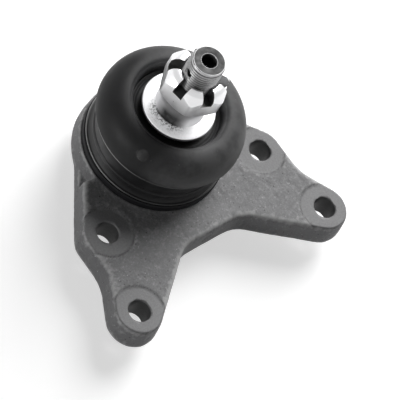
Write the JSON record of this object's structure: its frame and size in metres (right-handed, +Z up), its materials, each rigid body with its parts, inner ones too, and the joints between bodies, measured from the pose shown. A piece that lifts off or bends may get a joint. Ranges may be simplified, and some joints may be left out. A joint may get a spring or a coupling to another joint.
{
  "type": "suspension ball joint",
  "caption": "Suspension ball joint with a forged bracket plate, a rubber dust boot, a tapered ball stud and a flanged castle nut.",
  "frame": {"origin": "centre of the ball, at the height of the machined spot faces round the bolt holes", "axes": "+Z up the stud, +X across the two bolt hole rows, the bolt holes lie towards -Y"},
  "size_m": [0.1338, 0.1099, 0.0994],
  "materials": {
    "forged_iron": "matt dark grey forging skin with fine grain",
    "seat_plastic": "smooth acetal",
    "spring_steel": "blued",
    "cover_steel": "pressed sheet, satin",
    "plug_zinc": "zinc plated",
    "gasket_brass": "plain copper alloy",
    "ring_black": "black phosphate",
    "boot_rubber": "matt black with a soft sheen",
    "stud_steel": "machined grey steel",
    "nut_zinc": "bright zinc, satin"
  },
  "bodies": {
    "housing": {"housing": "forged_iron", "upper_ball_seat": "seat_plastic", "lower_ball_seat": "seat_plastic", "preload_spring": "spring_steel", "end_cover": "cover_steel", "grease_plug": "plug_zinc", "plug_gasket": "gasket_brass", "boot_seat_ring": "ring_black"},
    "boot": {"dust_boot": "boot_rubber"},
    "boot_neck": {"boot_neck_clip": "ring_black"},
    "stud": {"ball_stud": "stud_steel", "castle_nut": "nut_zinc"}
  },
  "joints": [
    {"name": "tilt_x", "type": "hinge", "parent": "housing", "child": "boot", "pos_m": [0, 0, 0], "axis": [1, 0, 0], "range_deg": [-17, 17], "deforming": ["dust_boot"]},
    {"name": "tilt_y", "type": "hinge", "parent": "boot", "child": "boot_neck", "pos_m": [0, 0, 0], "axis": [0, 1, 0], "range_deg": [-17, 17], "deforming": ["dust_boot"]},
    {"name": "spin", "type": "hinge", "parent": "boot_neck", "child": "stud", "pos_m": [0, 0, 0], "axis": [0, 0, 1], "continuous": true}
  ]
}
